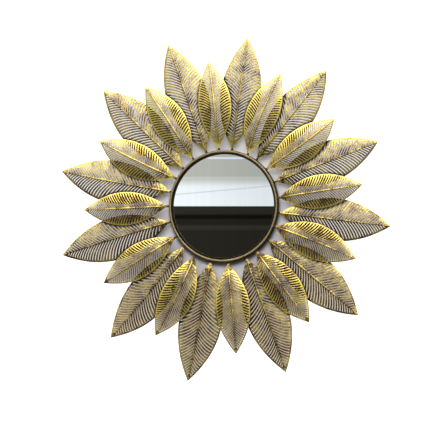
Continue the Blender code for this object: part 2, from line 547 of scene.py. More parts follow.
@dataclass(frozen=True)
class Fibreboard(Finish):
    """Plain brown fibreboard: short felted fibres and a few darker specks."""

    name: str = "fibreboard"
    colour: Colour = (0.27, 0.17, 0.095)
    pale: Colour = (0.40, 0.28, 0.17)
    dark: Colour = (0.09, 0.05, 0.03)
    fibres: Grain = Grain(900.0, 6.0, 0.75)
    fibre_span: Span = (0.55, 1.0)
    patches: Grain = Grain(25.0)
    patch_share: float = 0.5
    patch_span: Span = (0.3, 0.7)
    specks: Grain = Grain(2600.0, 1.0)
    speck_span: Span = (0.68, 0.74)
    speck_depth: float = 0.6
    roughness: Span = (0.78, 0.9)
    bump: Bump = Bump(0.4, 0.0002)

    def material(self) -> Material:
        """Build the material.

        Returns:
            The material.
        """
        material, nodes, shader = self.start()
        place = nodes.place()
        fibres = nodes.noise(place, self.fibres)
        patches = nodes.noise(place, self.patches)
        share = nodes.range(nodes.math("MULTIPLY_ADD", patches, self.patch_share, fibres),
                            self.fibre_span)
        specks = nodes.range(nodes.noise(place, self.specks), self.speck_span,
                             (0.0, self.speck_depth))
        nodes.fill(shader, Base_Color=nodes.blend(
            specks, nodes.blend(share, self.colour, self.pale), self.dark),
                   Roughness=nodes.range(patches, self.patch_span, self.roughness),
                   Normal=nodes.bump(fibres, self.bump))
        return material


@dataclass(frozen=True)
class ZincSteel(Finish):
    """Plain zinc plated steel with rolled streaks."""

    name: str = "zinc_steel"
    colour: Colour = (0.58, 0.59, 0.60)
    stained: Colour = (0.42, 0.41, 0.38)
    stretch: Point = (1.0, 1.0, 14.0)
    streaks: Grain = Grain(140.0, 5.0, 0.7)
    streak_span: Span = (0.3, 0.7)
    roughness: Span = (0.26, 0.42)
    stains: Grain = Grain(90.0, 4.0)
    stain_span: Span = (0.5, 0.75)
    bump: Bump = Bump(0.3, 0.0001)

    def material(self) -> Material:
        """Build the material.

        Returns:
            The material.
        """
        material, nodes, shader = self.start()
        place = nodes.place()
        rolled = nodes.fill(nodes.add("Mapping"), Vector=place, Scale=self.stretch).outputs[0]
        streaks = nodes.noise(rolled, self.streaks)
        stains = nodes.range(nodes.noise(place, self.stains), self.stain_span)
        nodes.fill(shader, Base_Color=nodes.blend(stains, self.colour, self.stained),
                   Roughness=nodes.range(streaks, self.streak_span, self.roughness),
                   Metallic=1.0, Normal=nodes.bump(streaks, self.bump))
        return material


Finishes = dict[str | Layer, Material]


# ---- the leaves ----


@dataclass(frozen=True)
class LeafShape:
    """The blade of one stamping, in the same sizes as its solid."""

    length: float
    width: float
    camber: float
    arch: float
    tip_rise: float
    foot_height: float
    bow: float = 0.0
    foot_width: float = 0.0060
    tip_width: float = 0.0024
    crest_shift: float = 0.8
    straight_fall: float = 0.3

    def half_width(self, share: float) -> float:
        """Half the leaf's width at a share of its length."""
        end = self.foot_width if share < 0.5 else self.tip_width
        return max(self.width * 2 * share * (1 - share), end / 2)

    def spine(self, share: float) -> float:
        """Height of the blade's middle at a share of its length."""
        hump = math.sin(math.pi * max(share, 0.0) ** self.crest_shift)
        return self.foot_height + self.arch * hump + self.tip_rise * share

    def sway(self, share: float) -> float:
        """The sideways bow of the middle line at a share of the length."""
        return self.bow * 4 * share * (1 - share)

    def at(self, share: float, aside: float, lift: float) -> Vector:
        """A point on the blade's front, or above it.

        Args:
            share: The share of the leaf's length.
            aside: How far from the middle line, to the left looking at the tip.
            lift: How far above the plain blade.

        Returns:
            The point, with the foot at the origin and the tip along X.
        """
        half = self.half_width(share)
        side = min(abs(aside) / half, 1.0)
        curve = self.straight_fall * side + (1 - self.straight_fall) * side ** 2
        fall = self.camber * (2 * half / self.width) * curve
        return Vector((self.length * share, self.sway(share) + aside,
                       self.spine(share) - fall + lift))

    def stretched(self, stretch: float, bow: float) -> "LeafShape":
        """The same stamping, longer and wider by a share of its length, with a bow."""
        return replace(self, length=self.length + stretch,
                       width=self.width * (1 + stretch / self.length), bow=bow)


@dataclass(frozen=True)
class Veins:
    """The side veins of a leaf, with a slot between each two of them."""

    count: int
    first: float
    last: float
    share: float
    foot_degrees: float = 66.0
    tip_degrees: float = 46.0
    lead: float = 1.6

    def bend(self, share: float) -> float:
        """How far along its run a vein is at a share of its way to the edge."""
        return self.lead * share - (self.lead - 1) * share ** 2

    def pitch(self) -> float:
        """From vein to vein along the midrib, as a share of the leaf's length."""
        return (self.last - self.first) / (self.count - 1)

    def rim_end(self, shape: LeafShape, start: float) -> float:
        """Where a vein reaches the leaf's edge.

        Args:
            shape: The leaf's blade.
            start: Where the vein leaves the midrib, as a share of the length.

        Returns:
            The place on the edge, as a share of the length.
        """
        slope = math.tan(math.radians(mix(self.foot_degrees, self.tip_degrees, start)))
        reach = shape.length * slope
        bulge = 2 * shape.width
        half = reach - bulge
        return (math.sqrt(half * half + 4 * bulge * reach * start) - half) / (2 * bulge)


class Row(NamedTuple):
    """One line of vertices across a leaf: along a vein, beside it or on the plain sheet."""

    start: float
    crest: bool = False
    pinch: float = 0.0
    open_after: bool = False
    plain: bool = False


@dataclass(frozen=True)
class PiercedLeaf:
    """One stamped leaf: rim, midrib and side veins, with real slots between the veins.

    Each line of vertices has columns from the midrib's crest to the leaf's edge. The first
    two are on the midrib, the last two on the rim, and those between them bound the slots.
    """

    name: str
    shape: LeafShape
    veins: Veins
    end_gilt: Span
    vein_gilt: Span
    rim: float
    sheet: float = 0.0014
    midrib_foot: float = 0.0040
    midrib_tip: float = 0.0026
    midrib_rise: float = 0.0006
    midrib_most: float = 0.34
    rim_rise: float = 0.0003
    rim_most: float = 0.4
    vein_rise: float = 0.0003
    shortest_slot: float = 0.0035
    full_half: float = 0.012
    shoulder_rise: float = 0.7
    shoulder_gilt: float = 0.8
    ridge_gilt: Span = (0.72, 0.66)
    beside_gilt: float = 0.5
    rim_gilt: float = 0.7
    edge_gilt: float = 0.45
    foot_share: float = 0.85
    foot_veins: int = 6
    foot_rows: int = 4
    tip_rows: int = 6
    sharp_degrees: float = 55.0
    along: tuple[float, ...] = (0.07, 0.22, 0.41, 0.59, 0.78, 0.93)
    pinches: tuple[float, ...] = (0.62, 0.12, 0.0, 0.0, 0.0, 0.0, 0.12, 0.62)
    swells: tuple[float, ...] = (0.25, 0.8, 1.0, 1.0, 1.0, 1.0, 0.8, 0.25)

    def rows(self) -> list[Row]:
        """The lines across the leaf, from its foot to its tip.

        Returns:
            The rows in order.
        """
        pitch = self.veins.pitch()
        halves = [pitch / 2 * mix(self.foot_share, self.veins.share,
                                  min(number / self.foot_veins, 1.0))
                  for number in range(self.veins.count)]
        gaps = [0.0, *[(pitch - low - high) / 2 for low, high in zip(halves, halves[1:])], 0.0]
        rows = [Row(start, plain=True) for start in
                spread(0.0, self.veins.first - halves[0], self.foot_rows + 1)[:-1]]
        for number, half in enumerate(halves):
            middle = self.veins.first + number * pitch
            rows += [Row(middle - half, pinch=-gaps[number]), Row(middle, crest=True),
                     Row(middle + half, pinch=gaps[number + 1],
                         open_after=number < self.veins.count - 1)]
        return rows + [Row(start, plain=True) for start in
                       spread(self.veins.last + halves[-1], 1.0, self.tip_rows + 1)[1:]]

    def places(self, start: float) -> tuple[list[float], float]:
        """The shares of a vein's line where the columns of vertices stand.

        Args:
            start: Where the line leaves the midrib.

        Returns:
            The shares from the midrib's crest to the leaf's edge, and the slot's length.
        """
        end = self.veins.rim_end(self.shape, start)
        half = self.shape.half_width(end)
        run = self.shape.length * (end - start)
        slant = 2 * self.shape.width * (1 - 2 * end) / self.shape.length
        at_rim = run * (2 - self.veins.lead)
        across = max(abs(half - at_rim * slant) / math.hypot(1.0, slant), 1e-6)
        inner = min(mix(self.midrib_foot, self.midrib_tip, start) / 2 / half, self.midrib_most)
        outer = 1 - min(self.rim / across, self.rim_most)
        steps = [mix(inner, outer, share) for share in self.along]
        return ([0.0, inner / 2, inner, *steps, outer, (outer + 1) / 2, 1.0],
                (outer - inner) * math.hypot(half, run))

    def lifts(self, half: float, row: Row) -> tuple[list[float], list[float]]:
        """How far each column stands proud, and the relief that the finish reads.

        Args:
            half: Half the leaf's width where the line ends.
            row: The line.

        Returns:
            The lifts in metres and the relief from 0 to 1.
        """
        room = min(1.0, half / self.full_half)
        middle = min(self.midrib_rise, half / 3)
        swell = [self.vein_rise * room * part if row.crest else 0.0 for part in self.swells]
        lift = [middle, self.shoulder_rise * middle, *swell, self.rim_rise * room, 0.0]
        if row.plain:
            return lift, [self.end_gilt[row.start > 0.5]] * len(lift)
        ridge = mix(*self.ridge_gilt, row.start)
        strength = 1.0 if row.crest else self.beside_gilt
        proud = [gilt * strength for gilt in spread(*self.vein_gilt, len(self.swells))]
        return lift, [ridge, self.shoulder_gilt * ridge, *proud, self.rim_gilt, self.edge_gilt]

    def line(self, build: ReliefMesh, row: Row, spots: Sequence[float]
             ) -> tuple[list[Corner], list[Corner]]:
        """Add one line of vertices on both halves of the leaf.

        Args:
            build: The leaf's mesh.
            row: The line.
            spots: The shares where its columns stand.

        Returns:
            Its vertices on the left and on the right half, with the first one shared.
        """
        lift, proud = self.lifts(self.shape.half_width(
            self.veins.rim_end(self.shape, row.start)), row)
        shared = build.corner(self.shape.at(row.start, 0.0, lift[0]), proud[0])
        halves = ([shared], [shared])
        pinches = (0.0, *self.pinches, 0.0, 0.0)
        for side, half in zip((1, -1), halves):
            for column in range(1, len(spots)):
                pinch = pinches[column - 1] * row.pinch
                start = row.start + pinch
                share = self.places(start)[0][column] if pinch else spots[column]
                end = self.veins.rim_end(self.shape, start)
                station = start + (end - start) * self.veins.bend(share)
                aside = side * share * self.shape.half_width(end)
                half.append(build.corner(
                    self.shape.at(station, aside, lift[column]), proud[column]))
        return halves

    def mesh(self, *materials: Material) -> Item:
        """Build the leaf's front as one sheet with slots.

        Args:
            materials: The finishes of its front and of its back.

        Returns:
            The object, lying with its foot at the origin.
        """
        build = ReliefMesh()
        opens, lines = [], []
        for row in self.rows():
            spots, slot = self.places(row.start)
            opens.append(row.open_after and slot > self.shortest_slot)
            lines.append(self.line(build, row, spots))
        for side in (0, 1):
            for opened, first, second in zip(opens, lines, lines[1:]):
                low, high = first[side], second[side]
                for column in range(len(low) - 1):
                    if opened and 2 <= column <= len(self.pinches):
                        continue
                    corners = (low[column], high[column], high[column + 1], low[column + 1])
                    build.face(corners[::-1] if side else corners)
        return build.finish(self.name, *materials)

    def build(self, front: Material, back: Material) -> Item:
        """Build and dress the leaf.

        Args:
            front: The finish of its front.
            back: The finish of its back and of its slots' walls.

        Returns:
            The leaf, lying with its foot at the origin.
        """
        item = self.mesh(front, back)
        thick = item.modifiers.new("sheet", "SOLIDIFY")
        thick.thickness = self.sheet
        thick.offset = -1.0
        thick.use_rim = True
        thick.material_offset = 1
        thick.material_offset_rim = 1
        applied(item)
        shade_round(item, self.sharp_degrees)
        return item


@dataclass(frozen=True)
class Stem:
    """The rod that joins a leaf to the ring, with a weld's swelling at both ends.

    It ends under the blade, two steps along the solid's crowded stations.
    """

    name: str
    shape: LeafShape
    steps: int
    reach: int = 2
    crowding: float = 0.5
    radius: float = 0.0025
    below: float = 0.0040
    room: float = 0.0050
    room_steps: int = 5
    blade_steps: int = 9
    sides: int = 14
    swell: float = 0.0008
    swell_length: float = 0.0030
    taper: float = 0.5
    gilt: float = 0.5
    sharp_degrees: float = 50.0

    def path(self) -> list[Vector]:
        """The middle of the rod, from the ring to its end under the leaf.

        Returns:
            Its points in order.
        """
        reach = self.reach / self.steps
        end = reach - self.crowding * math.sin(math.tau * reach) / math.tau
        level = self.shape.foot_height - self.below
        free = [Vector((x, 0.0, level))
                for x in spread(-self.room, -self.room / 2, self.room_steps)]
        return free + [Vector((self.shape.length * share, self.shape.sway(share),
                               self.shape.spine(share) - self.below))
                       for share in spread(0.0, end, self.blade_steps)]

    def build(self, material: Material) -> Item:
        """Build and dress the rod.

        Args:
            material: Its finish.

        Returns:
            The rod, lying as its leaf does.
        """
        build = ReliefMesh()
        path = self.path()
        rings = []
        length = (path[-1] - path[0]).length
        for number, point in enumerate(path):
            ahead = path[min(number + 1, len(path) - 1)] - path[max(number - 1, 0)]
            across = ahead.cross(OUT).normalized()
            up = across.cross(ahead).normalized()
            run = (point - path[0]).length
            near = max(0.0, 1 - run / self.swell_length)
            last = max(0.0, 1 - (length - run) / self.swell_length)
            radius = (self.radius + self.swell * near ** 2
                      - self.taper * self.radius * last ** 3)
            angles = [math.tau * step / self.sides for step in range(self.sides)]
            rings.append([build.corner(point + radius * (
                math.cos(angle) * across + math.sin(angle) * up), self.gilt)
                          for angle in angles])
        for first, second in zip(rings, rings[1:]):
            build.bridge(first, second)
        build.face(rings[0][::-1])
        build.face(rings[-1])
        build.outward()
        item = build.finish(self.name, material)
        shade_round(item, self.sharp_degrees)
        return item


class Setting(NamedTuple):
    """How one leaf was set by hand: degrees off its even place, lean, stretch and bow."""

    turn: float
    lean: float
    stretch: float
    bow: float


LARGE_SETTINGS = (
    Setting(0.5, 1.3, 0.000, -0.002),
    Setting(3.7, 0.0, -0.009, -0.003),
    Setting(5.5, -3.1, -0.009, -0.003),
    Setting(5.5, -3.9, -0.010, -0.002),
    Setting(3.8, 0.3, -0.004, 0.000),
    Setting(4.7, -2.6, 0.007, 0.002),
    Setting(5.6, -4.0, 0.011, 0.003),
    Setting(-1.7, 2.5, 0.010, 0.004),
    Setting(-3.6, 5.3, 0.003, 0.006),
    Setting(-3.3, 0.8, 0.001, 0.000),
    Setting(-3.8, 4.2, 0.000, 0.002),
    Setting(-0.7, -1.4, -0.001, 0.000),
)
SMALL_SETTINGS = (
    Setting(0.9, 1.2, 0.000, -0.005),
    Setting(-0.1, 2.3, -0.004, 0.002),
    Setting(4.8, -4.7, -0.006, -0.006),
    Setting(2.7, 0.5, -0.002, -0.001),
    Setting(3.7, -0.1, 0.005, 0.003),
    Setting(2.5, 0.9, 0.006, 0.002),
    Setting(1.0, 0.7, 0.008, 0.004),
    Setting(-4.6, 4.0, 0.002, 0.007),
    Setting(-2.5, -0.2, -0.002, 0.002),
    Setting(-5.0, 2.3, -0.003, 0.002),
    Setting(-4.2, 3.4, 0.000, 0.003),
    Setting(-0.8, 0.2, 0.001, -0.003),
)


class Spot(NamedTuple):
    """Where one leaf stands: its number, its setting, its foot on the wall and its angle."""

    number: int
    setting: Setting
    foot: Vector
    angle: float

    def stand(self, item: Item) -> None:
        """Set a leaf or a stem at its place on the ring and stand it up."""
        item.data.transform(
            STAND @ Matrix.Translation(self.foot) @ Matrix.Rotation(self.angle, 4, "Z"))


class WallPoints(NamedTuple):
    """Points on the wall: how far across to the right and how far up they are."""

    across: np.ndarray
    up: np.ndarray

    def shifted(self, right: float, rise: float) -> "WallPoints":
        """The same points, as seen past something that stands out from the wall."""
        return WallPoints(self.across - right, self.up - rise)

    def radius(self) -> np.ndarray:
        """How far the points are from the mirror's middle."""
        return np.hypot(self.across, self.up)


class LeafPlace(NamedTuple):
    """Where points lie on one leaf: the share of its length, the distance to the left of
    its middle line, its half width there and the leaf's angle."""

    share: np.ndarray
    aside: np.ndarray
    half: np.ndarray
    angle: float

    def kept(self, values: np.ndarray) -> np.ndarray:
        """Values from 0 to 1 between the leaf's ends, and 0 past them."""
        on_leaf = (self.share > 0.0) & (self.share < 1.0)
        return np.where(on_leaf, np.clip(values, 0.0, 1.0), 0.0)


@dataclass(frozen=True)
class LeafLayer:
    """Twelve leaves of one size round the ring, with their stems."""

    layer: Layer
    shape: LeafShape
    veins: Veins
    settings: Sequence[Setting]
    first_degrees: float
    stem_steps: int
    rim: float
    end_gilt: Span
    # Painted top light: how much lighter the ends of upward pointing leaves are, and how much
    # darker those of downward pointing ones are.
    end_top_light: Span
    vein_gilt: Span
    # Painted top light: how much lighter the upper leaves are.
    top_painted_light: float
    # Painted shade: how much darker the lower halves of the low leaves are, since they face the
    # floor.
    low_side_shade: float
    edge_height: float
    foot_radius: float = 0.1365
    covered_by: "LeafLayer | None" = None
    cover_soft: float = 0.0040
    cover_spill: float = 0.0025
    cover_grow: float = 1.8
    # Painted shadow: how much darker a leaf is under the other layer and just beside it.
    cover_shade: float = 0.72

    def spots(self) -> Iterator[Spot]:
        """Where the leaves stand.

        Yields:
            Each leaf's number from 1, its setting, its foot's place and its angle.
        """
        for index, setting in enumerate(self.settings):
            angle = math.radians(self.first_degrees - index * 360 / len(self.settings)
                                 + setting.turn)
            foot = self.foot_radius * Vector((math.cos(angle), math.sin(angle), 0.0))
            yield Spot(index + 1, setting, foot, angle + math.radians(setting.lean))

    def leaf_places(self, points: WallPoints) -> Iterator[LeafPlace]:
        """Where points on the wall lie along and beside each leaf's middle line.

        Args:
            points: The points.

        Yields:
            Their places on each leaf.
        """
        for _, setting, foot, angle in self.spots():
            right, rise = points.across - foot.x, points.up - foot.y
            share = (right * math.cos(angle) + rise * math.sin(angle)) / (
                self.shape.length + setting.stretch)
            aside = rise * math.cos(angle) - right * math.sin(angle)
            room = share * (1 - share)
            yield LeafPlace(share, aside - setting.bow * 4 * room,
                            self.shape.width * 2 * room, angle)

    def low_side(self, points: WallPoints, rim: float = 0.0) -> np.ndarray:
        """How far points lie behind the half of a leaf that faces the floor.

        Args:
            points: The points on the wall.
            rim: How much of it is left at the leaf's edge.

        Returns:
            0 behind the upper halves and in the open, to 1 behind a lower half.
        """
        low = np.zeros(len(points.up))
        for leaf in self.leaf_places(points):
            near = np.clip((leaf.half - np.abs(leaf.aside)) / self.cover_soft + rim, 0.0, 1.0)
            turned = np.clip(-np.sign(leaf.aside) * math.cos(leaf.angle), 0.0, 1.0)
            low = np.maximum(low, leaf.kept(near * turned))
        return low

    def cover(self, points: WallPoints, margin: float, grow: float = 0.0) -> np.ndarray:
        """How far points on the wall lie under this layer's leaves.

        Args:
            points: The points on the wall.
            margin: How far inside a leaf's outline its cover starts.
            grow: How much more of the margin there is at the tip.

        Returns:
            0 in the open to 1 well under a leaf.
        """
        under = np.zeros(len(points.up))
        for leaf in self.leaf_places(points):
            inside = leaf.half - margin * (1 + grow * leaf.share) - np.abs(leaf.aside)
            under = np.maximum(under, leaf.kept(inside / self.cover_soft))
        return under

    def spill(self, points: WallPoints) -> np.ndarray:
        """How far points lie under this layer's leaves or close beside them."""
        return self.cover(points, -self.cover_spill, self.cover_grow)

    def paint_light_and_shade(self, item: Item) -> None:
        """Paint light and shade into the relief: painted top light on the upper leaves, painted
        shade on the low leaves' lower halves, and painted shadow where the other layer lies
        over them and just beside it.

        Args:
            item: The leaf, standing in its place.
        """
        places = np.zeros(3 * len(item.data.vertices))
        item.data.vertices.foreach_get("co", places)
        points = WallPoints(places[0::3], places[2::3])
        values = item.data.attributes[RELIEF].data
        relief = np.zeros(len(values))
        values.foreach_get("value", relief)
        high = np.clip(points.up / self.foot_radius, 0.0, 1.0)
        # Painted top light: the upper leaves lighter.
        relief += self.top_painted_light * high
        # Painted shade on the low leaves' lower halves, which face the floor.
        relief -= self.low_side_shade * (1 - high) * self.low_side(points, 1.0)
        # Painted shadow where the other layer lies over the leaf and just beside it.
        if self.covered_by is not None:
            relief *= 1 - self.cover_shade * self.covered_by.spill(points)
        values.foreach_set("value", relief)

    def build(self, finishes: Finishes) -> None:
        """Build every leaf and stem of the layer and put it in its place in the frame.

        Args:
            finishes: The materials by name.
        """
        for spot in self.spots():
            shape = self.shape.stretched(spot.setting.stretch, spot.setting.bow)
            # Painted top light: the ends of upward pointing leaves lighter, those of downward
            # pointing ones darker.
            ends = tuple(gilt + rise * math.sin(spot.angle)
                         for gilt, rise in zip(self.end_gilt, self.end_top_light))
            node = f"{self.layer.value}_leaf_{spot.number:02d}"
            leaf = PiercedLeaf(f"pierced_{node}", shape, self.veins, ends, self.vein_gilt,
                               self.rim)
            item = leaf.build(finishes[self.layer], finishes["back"])
            spot.stand(item)
            self.paint_light_and_shade(item)
            stand_for(item, node)
            node = f"{self.layer.value}_stem_{spot.number:02d}"
            item = Stem(f"round_{node}", shape, self.stem_steps).build(finishes["stem"])
            spot.stand(item)
            stand_for(item, node)


# ---- ring, glass and back ----


@dataclass(frozen=True)
class TurnedRing:
    """The thin ring: a half round bead, a groove and a lip over the glass."""

    radius: float = 0.1315
    sight_radius: float = 0.1213
    rebate_radius: float = 0.1239
    lip_back: float = 0.0096
    lip_top: float = 0.0116
    bead_radius: float = 0.0033
    bead_lift: float = 0.0008
    groove_depth: float = 0.0006
    soft_edge: float = 0.0007
    steps: int = 192
    bead_steps: int = 13
    lip_steps: int = 5
    corner_gilt: tuple[float, float, float] = (0.3, 0.4, 0.2)
    outer_gilt: float = 0.12
    bead_gilt: Span = (0.1, 1.0)
    bead_power: int = 3
    lip_gilt: float = 0.2
    inner_gilt: float = 0.1
    sharp_degrees: float = 40.0

    def profile(self) -> list[tuple[float, float, float]]:
        """The ring's section, from its back outer corner round to its back inner corner.

        Returns:
            Radius, height and relief of each point.
        """
        soft, groove = self.soft_edge, self.groove_depth
        first, second, third = self.corner_gilt
        points = [(self.radius - soft, 0.0, first),
                  (self.radius - 0.3 * soft, 0.3 * soft, second), (self.radius, soft, third)]
        top = self.lip_top + self.bead_lift
        points += [(self.radius, mix(soft, top, share), self.outer_gilt)
                   for share in (0.4, 0.8)]
        middle = self.radius - self.bead_radius
        for angle in spread(0.0, math.pi, self.bead_steps):
            points.append((middle + self.bead_radius * math.cos(angle),
                           top + self.bead_radius * math.sin(angle),
                           mix(*self.bead_gilt, math.sin(angle) ** self.bead_power)))
        inner = middle - self.bead_radius
        points += [(inner, self.lip_top - groove, 0.0),
                   (inner - 0.5 * groove, self.lip_top - 0.4 * groove, self.inner_gilt),
                   (inner - groove, self.lip_top, self.lip_gilt)]
        for angle in spread(math.pi / 2, math.pi, self.lip_steps):
            points.append((self.sight_radius + soft + soft * math.cos(angle),
                           self.lip_top - soft + soft * math.sin(angle), self.lip_gilt))
        return points + [(self.sight_radius, self.lip_back, self.inner_gilt),
                         (self.rebate_radius, self.lip_back, self.inner_gilt),
                         (self.rebate_radius, 0.0, self.inner_gilt)]

    def build(self, material: Material) -> None:
        """Build and dress the ring, standing in its place.

        Args:
            material: Its finish.
        """
        build = ReliefMesh()
        lines = [build.circle(*point, self.steps) for point in self.profile()]
        for first, second in zip(lines, lines[1:] + lines[:1]):
            build.bridge(first, second)
        build.outward()
        item = build.finish("turned_ring", material)
        shade_round(item, self.sharp_degrees)
        item.data.transform(STAND)
        stand_for(item, "frame_ring")


@dataclass(frozen=True)
class RoundGlass:
    """The silvered glass behind the ring's lip."""

    radius: float = 0.1236
    back: float = 0.0063
    thickness: float = 0.0030
    chamfer: float = 0.0006
    steps: int = 192

    def build(self, material: Material) -> None:
        """Build and dress the glass, standing in its place.

        Args:
            material: Its finish.
        """
        build = ReliefMesh()
        front = self.back + self.thickness
        lines = [build.circle(radius, height, 1.0, self.steps) for radius, height in (
            (self.radius, self.back), (self.radius, front - self.chamfer),
            (self.radius - self.chamfer, front))]
        for first, second in zip(lines, lines[1:]):
            build.bridge(first, second)
        build.face(lines[0][::-1])
        build.face(lines[-1])
        item = build.finish("round_glass", material)
        item.data.transform(STAND)
        stand_for(item, "mirror_glass")


def dress_back(finishes: Finishes) -> None:
    """Dress the board and its hanging plate, which keep their solids.

    Args:
        finishes: The materials by name.
    """
    for node, finish in (("backing_board", "board"), ("hanging_plate", "plate")):
        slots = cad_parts[node].material_slots
        for slot in slots:
            slot.material = finishes[finish]
        LOG.info("%s keeps its solid, %d slots dressed", node, len(slots))


# ---- studio ----


@dataclass(frozen=True)
class PlainPaint(Finish):
    """Matt paint of the studio's floor."""

    name: str = "floor_paint"
    colour: Colour = (0.72, 0.71, 0.69)
    faded: float = 0.97
    tones: Grain = Grain(2.0, 2.0)
    tone_span: Span = (0.3, 0.7)
    roughness: float = 0.9

    def material(self) -> Material:
        """Build the material."""
        material, nodes, shader = self.start()
        tone = nodes.range(nodes.noise(nodes.place(), self.tones), self.tone_span)
        faded = tuple(self.faded * part for part in self.colour)
        nodes.fill(shader, Base_Color=nodes.blend(tone, self.colour, faded),
                   Roughness=self.roughness)
        return material


@dataclass(frozen=True)
class LitWall(Finish):
    """A lit white wall, with grey paint for painted shade where the mirror hangs, darker paint
    for painted shadows, a dim glow for painted light behind the leaves, and nothing on its
    back.

    The paint and its glow are warmer behind the lower leaves, away from the ring: painted warm
    light.
    """

    name: str = "wall_paint"
    # Grey paint behind the leaves: painted shade.
    near: Colour = (0.635, 0.62, 0.64)
    # Colour of the painted shadows.
    shade: Colour = (0.05, 0.045, 0.04)
    far: Colour = (0.80, 0.80, 0.80)
    # Colour of the dim glow behind the leaves: painted light.
    soft: Colour = (1.0, 0.95, 0.89)
    # Painted warm light behind the lower leaves.
    painted_warm_light: Colour = (0.93, 0.84, 0.67)
    warm_light_heights: Span = (0.05, -0.24)
    warm_light_radii: Span = (0.165, 0.205)
    roughness: float = 0.9
    glow: float = 1.0

    def material(self) -> Material:
        """Build the material.

        Returns:
            The material.
        """
        material, nodes, shader = self.start()
        behind = nodes.attribute(BEHIND)
        place = nodes.place()
        radius = nodes.vector("LENGTH", place).outputs["Value"]
        # Painted warm light behind the lower leaves, away from the ring.
        low = nodes.math("MULTIPLY", nodes.range(nodes.parts(place)["Z"], self.warm_light_heights),
                         nodes.range(radius, self.warm_light_radii))
        warm = nodes.blend(low, WHITE, self.painted_warm_light)
        # The grey paint behind the leaves is painted shade.
        near = nodes.blend(1.0, self.near, warm, "MULTIPLY")
        # Painted shadow: darker paint where both layers overlap, beside the small leaves and
        # under the ring.
        paint = nodes.blend(nodes.attribute(PAINTED_SHADOW), near, self.shade)
        # Painted light: a dim glow behind the leaves, seen through the slots.
        soft = nodes.blend(1.0, self.soft, warm, "MULTIPLY")
        dim = nodes.blend(nodes.attribute(GLOW), BLACK, soft)
        nodes.fill(shader, Base_Color=nodes.blend(behind, self.far, paint),
                   Roughness=self.roughness, Emission_Color=nodes.blend(behind, WHITE, dim),
                   Emission_Strength=self.glow)
        choice = nodes.row(nodes.add("MixShader"),
                           nodes.add("NewGeometry").outputs["Backfacing"], shader.outputs[0],
                           nodes.add("BsdfTransparent").outputs[0])
        nodes.fill(material.node_tree.nodes["Material Output"], Surface=choice)
        return material


class Band(NamedTuple):
    """One tone of the card, held between two heights of the mirror from 0 to 1."""

    low: float
    high: float
    colour: Colour


MIRROR_BANDS = (
    Band(0.000, 0.286, (0.0189, 0.0177, 0.0137)),
    Band(0.304, 0.326, (0.0318, 0.0287, 0.0235)),
    Band(0.342, 0.380, (0.0163, 0.0152, 0.0116)),
    Band(0.396, 0.418, (0.0060, 0.0058, 0.0040)),
    Band(0.436, 0.4975, (0.0228, 0.0234, 0.0161)),
    Band(0.5005, 0.5005, (0.859, 0.908, 0.940)),
    Band(0.652, 0.652, (0.834, 0.884, 0.913)),
    Band(0.674, 0.674, (0.792, 0.841, 0.871)),
    Band(0.695, 0.695, (0.686, 0.715, 0.704)),
    Band(0.712, 0.712, (0.606, 0.636, 0.618)),
    Band(0.735, 0.735, (0.503, 0.536, 0.495)),
    Band(0.742, 0.742, (0.567, 0.595, 0.551)),
    Band(0.757, 1.000, (0.449, 0.457, 0.420)),
)


class Patch(NamedTuple):
    """A pale patch on the card, across from -1 to 1 and up from 0 to 1."""

    left: float = -0.27
    right: float = 0.36
    soft: float = 0.05
    level: float = 0.913
    width: float = 0.011
    core: float = 0.4
    colour: Colour = (0.739, 0.776, 0.862)


class Line(NamedTuple):
    """A faint slanting line on the card."""

    level: float = 0.636
    slope: float = -0.045
    width: float = 0.009
    core: float = 0.2
    strength: float = 0.8
    colour: Colour = (0.62, 0.65, 0.68)


